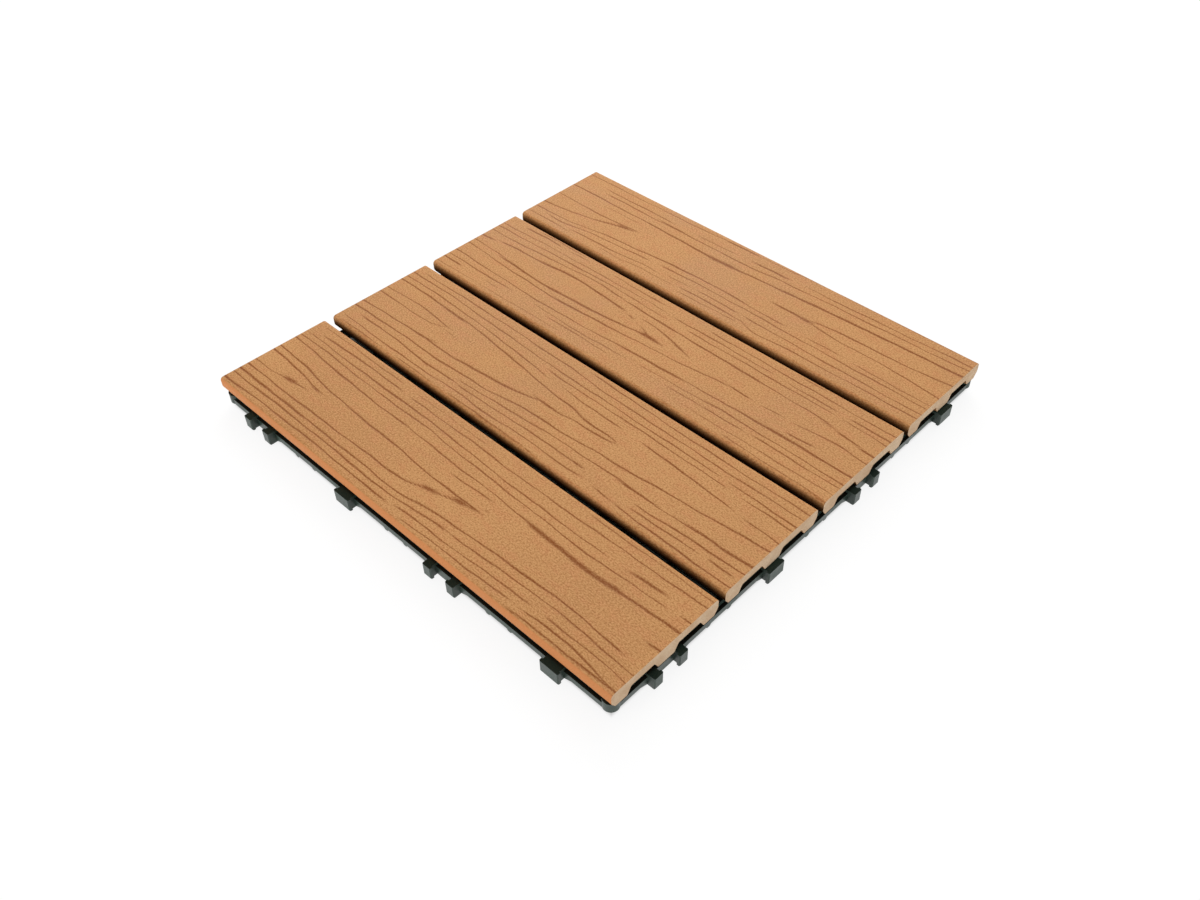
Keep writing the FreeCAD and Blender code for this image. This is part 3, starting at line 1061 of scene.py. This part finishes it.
@dataclass
class DriveScrews:
    """Pan-head screws with a cross recess, in place of their plain solids.

    Sizes in millimetres, their common box in metres.
    """

    low: Vector = field(init=False)
    high: Vector = field(init=False)
    head_radius: float = 3.0
    head_height: float = 2.2
    head_crown: float = 1.2
    crown_steps: int = 5
    shank_radius: float = 1.6
    thread_radius: float = 1.75
    thread_pitch: float = 1.3
    thread_shape: tuple = (0.4, 0.5, 0.9)
    tip_length: float = 2.5
    recess_length: float = 3.4
    recess_width: float = 0.75
    recess_depth: float = 1.3
    recess_taper: tuple = (0.35, 0.7, 1.0)
    facets: int = 40
    rows: int = 4
    sharp_angle: float = 32.0

    def __post_init__(self) -> None:
        """Read the box of the plain solids."""
        self.low, self.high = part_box(Part.SCREWS.value)

    def profile(self) -> list:
        """Half outline of a screw from the middle of its head to its point.

        Returns:
            Distances from the axis with their heights.
        """
        foot, tip = self.low.z / MM, self.high.z / MM
        seat = foot + self.head_height
        outline = [(0.0, foot), (self.head_radius - self.head_crown, foot)]
        for number in range(1, self.crown_steps + 1):
            turn = math.radians(90 * number / self.crown_steps)
            outline.append((
                self.head_radius - self.head_crown * (1 - math.sin(turn)),
                foot + self.head_crown * (1 - math.cos(turn))))
        outline += [(self.head_radius, seat), (self.shank_radius, seat)]
        neck = tip - self.tip_length
        height = seat + self.thread_pitch / 2
        rise, crest, fall = self.thread_shape
        while height + self.thread_pitch < neck:
            outline += [
                (self.shank_radius, height),
                (self.thread_radius, height + self.thread_pitch * rise),
                (self.thread_radius, height + self.thread_pitch * crest),
                (self.shank_radius, height + self.thread_pitch * fall),
            ]
            height += self.thread_pitch
        return outline + [(self.shank_radius, neck), (0.0, tip)]

    def turned(self) -> bmesh.types.BMesh:
        """Turn one screw round the vertical axis.

        Returns:
            The screw without its recess.
        """
        bm = bmesh.new()
        chain = [bm.verts.new((u * MM, 0.0, v * MM)) for u, v in self.profile()]
        edges = [bm.edges.new(pair) for pair in zip(chain, chain[1:])]
        bmesh.ops.spin(
            bm, geom=[*chain, *edges], cent=(0, 0, 0), axis=(0, 0, 1), angle=math.tau,
            steps=self.facets, use_merge=True)
        bmesh.ops.remove_doubles(bm, verts=bm.verts, dist=NEAR)
        bmesh.ops.recalc_face_normals(bm, faces=bm.faces)
        return bm

    def blades(self) -> bmesh.types.BMesh:
        """Two crossed tapered blades that cut the recess.

        Returns:
            The cutter.
        """
        bm = bmesh.new()
        for turn in (0.0, math.pi / 2):
            cube = bmesh.ops.create_cube(bm, size=1.0)["verts"]
            bmesh.ops.scale(
                bm, verts=cube,
                vec=(self.recess_length * MM, self.recess_width * MM, 2 * self.recess_depth * MM))
            deep = [vert for vert in cube if vert.co.z > 0]
            bmesh.ops.scale(bm, verts=deep, vec=self.recess_taper)
            bmesh.ops.rotate(bm, verts=cube, cent=(0, 0, 0), matrix=Matrix.Rotation(turn, 3, "Z"))
            bmesh.ops.translate(bm, verts=cube, vec=(0, 0, self.low.z))
        return bm

    def recessed(self) -> bpy.types.Mesh:
        """Cut the recess into one screw.

        Returns:
            The mesh of one screw on the vertical axis.
        """
        screw = finish_piece(self.turned(), "one_screw", [])
        cutter = finish_piece(self.blades(), "cross_blades", [])
        cut = screw.modifiers.new("recess", "BOOLEAN")
        cut.object = cutter
        cut.operation = "DIFFERENCE"
        cut.solver = "EXACT"
        cut.use_self = True
        shaped = screw.evaluated_get(bpy.context.evaluated_depsgraph_get())
        mesh = bpy.data.meshes.new_from_object(shaped)
        bpy.data.objects.remove(screw)
        bpy.data.objects.remove(cutter)
        return mesh

    def build(self, steel: bpy.types.Material) -> bpy.types.Object:
        """Build every screw where its solid stands.

        Args:
            steel: The screws' finish.

        Returns:
            The screws as one piece.
        """
        one = self.recessed()
        pitch = (self.high.x - self.low.x - 2 * self.head_radius * MM) / (self.rows - 1)
        start = self.low.x + self.head_radius * MM
        bm = bmesh.new()
        for number in range(self.rows**2):
            bm.from_mesh(one)
            added = bm.verts[-len(one.vertices):]
            across, along = divmod(number, self.rows)
            bmesh.ops.translate(bm, verts=added, vec=(start + along * pitch, start + across * pitch, 0))
        screws = finish_piece(bm, "drive_screws", [steel], self.sharp_angle)
        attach(screws, ROOT)
        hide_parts(Part.SCREWS.value)
        LOG.info("%s: %d faces", screws.name, len(screws.data.polygons))
        return screws


@dataclass
class CarriedSolid:
    """A solid whose shape is right as it is and which only gets its finish."""

    part: Part
    material: bpy.types.Material

    def dress(self) -> None:
        """Give the solid its material."""
        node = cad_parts[self.part.value]
        node.data.materials.clear()
        node.data.materials.append(self.material)
        LOG.info("%s: dressed as %s", self.part.value, self.material.name)


@dataclass(frozen=True)
class Softbox:
    """A square soft lamp. Power in watts, lengths in metres."""

    name: str
    power: float
    size: float
    place: tuple

    def hang(self) -> None:
        """Hang the lamp so that it points at the tile."""
        light = bpy.data.lights.new(self.name, "AREA")
        light.energy = self.power
        light.size = self.size
        lamp = bpy.data.objects.new(self.name, light)
        lamp.location = self.place
        lamp.rotation_mode = "QUATERNION"
        lamp.rotation_quaternion = (-Vector(self.place)).to_track_quat("-Z", "Y")
        bpy.context.scene.collection.objects.link(lamp)


@dataclass
class Studio:
    """White floor, plain soft light and a white background. Lengths in metres."""

    floor_half: float = 4.0
    floor_colour: tuple = (0.86, 0.86, 0.86, 1.0)
    floor_glow: float = 1.09
    floor_glow_share: float = 0.8
    tile_half: float = 0.149
    cover_edge: float = 0.004
    ambient: float = 0.56
    lamps: tuple = (
        Softbox("overhead", 5.6, 1.2, (-0.35, 0.95, 1.15)),
        Softbox("front", 6.2, 0.9, (-0.45, -1.6, 0.4)),
        Softbox("back", 7.6, 0.9, (-0.95, 0.95, 0.75)),
    )

    def floor(self) -> bpy.types.Object:
        """Lay the floor under the tile.

        Returns:
            The floor's object.
        """
        bm = bmesh.new()
        bmesh.ops.create_grid(bm, x_segments=1, y_segments=1, size=self.floor_half)
        mesh = bpy.data.meshes.new("floor")
        bm.to_mesh(mesh)
        bm.free()
        floor = bpy.data.objects.new("floor", mesh)
        bpy.context.scene.collection.objects.link(floor)
        mesh.materials.append(self.floor_material())
        return floor

    def seen(self, sheet: NodeSheet) -> object:
        """Mask of the rays that look at a surface rather than light it.

        Args:
            sheet: The sheet to place it in.

        Returns:
            The mask's socket.
        """
        path = sheet.add("ShaderNodeLightPath").outputs
        looking = sheet.maths("MAXIMUM", path["Is Camera Ray"], path["Is Glossy Ray"])
        return sheet.maths("MAXIMUM", looking, path["Is Transmission Ray"])

    def open_floor(self, sheet: NodeSheet) -> object:
        """Mask of the floor that the tile doesn't cover, so that none glows under it.

        Args:
            sheet: The sheet to place it in.

        Returns:
            The mask's socket.
        """
        return sheet.ramp(sheet.reach(), self.tile_half - self.cover_edge, self.tile_half)

    def floor_material(self) -> bpy.types.Material:
        """Matt pale floor that looks white apart from a faint shadow.

        Returns:
            The floor's material.
        """
        material = bpy.data.materials.new("white_floor")
        sheet = empty_sheet(material)
        matt = sheet.add("ShaderNodeBsdfDiffuse", {"Color": self.floor_colour})
        glow = sheet.add("ShaderNodeEmission", {"Strength": self.floor_glow})
        share = sheet.maths("MULTIPLY", self.seen(sheet), self.floor_glow_share)
        open_share = sheet.maths("MULTIPLY", share, self.open_floor(sheet))
        mixed = sheet.add("ShaderNodeMixShader", {0: open_share, 1: matt.outputs[0], 2: glow.outputs[0]})
        sheet.add("ShaderNodeOutputMaterial", {"Surface": mixed.outputs[0]})
        return material

    def world(self) -> None:
        """White surroundings to look at, softer for light."""
        world = bpy.data.worlds.new("studio")
        bpy.context.scene.world = world
        sheet = empty_sheet(world)
        strength = sheet.ramp(self.seen(sheet), 0.0, 1.0, self.ambient, 1.0)
        sky = sheet.add("ShaderNodeBackground", {"Color": (1.0, 1.0, 1.0, 1.0), "Strength": strength})
        sheet.add("ShaderNodeOutputWorld", {"Surface": sky.outputs[0]})

    def build(self) -> None:
        """Set up the floor, the world and the lamps."""
        self.floor()
        self.world()
        for lamp in self.lamps:
            lamp.hang()
        bpy.context.scene.view_settings.view_transform = "Standard"
        LOG.info("studio: floor, world and %d lamps", len(self.lamps))


@dataclass
class PhotoCamera:
    """Camera at the photograph's viewing angle. Lengths in metres, angles in degrees."""

    azimuth: float = 43.221
    elevation: float = 44.644
    distance: float = 0.62094
    aside: float = 0.012365
    above: float = -0.04461
    aim_height: float = 0.020
    lens: float = 33.355
    shift: float = -0.02064
    nearest: float = 0.01

    def build(self) -> None:
        """Place the camera and make it the scene's."""
        turn, rise = math.radians(self.azimuth), math.radians(self.elevation)
        back = Vector((math.sin(turn) * math.cos(rise), -math.cos(turn) * math.cos(rise), math.sin(rise)))
        right = Vector((math.cos(turn), math.sin(turn), 0.0))
        up = back.cross(right)
        data = bpy.data.cameras.new("photo_camera")
        data.lens = self.lens
        data.shift_x = self.shift
        data.clip_start = self.nearest
        camera = bpy.data.objects.new("photo_camera", data)
        aim = Vector((0, 0, self.aim_height))
        camera.location = aim + back * self.distance + right * self.aside + up * self.above
        camera.rotation_mode = "QUATERNION"
        camera.rotation_quaternion = (-back).to_track_quat("-Z", "Y")
        bpy.context.scene.collection.objects.link(camera)
        bpy.context.scene.camera = camera
        LOG.info("camera: %.1f degrees round, %.1f degrees up", self.azimuth, self.elevation)


def main() -> None:
    """Build the pieces in order and report each."""
    logging.basicConfig(level=logging.INFO, format="%(message)s")
    speckle = SpeckleEffect()
    CarriedSolid(Part.GRID, MouldedPlastic().make(speckle)).dress()
    DriveScrews().build(PlatedSteel().make(speckle))
    SlatDeck(EmbossedComposite().make(speckle), SawnComposite().make(speckle)).build()
    Studio().build()
    PhotoCamera().build()


if __name__ == "__main__":
    main()
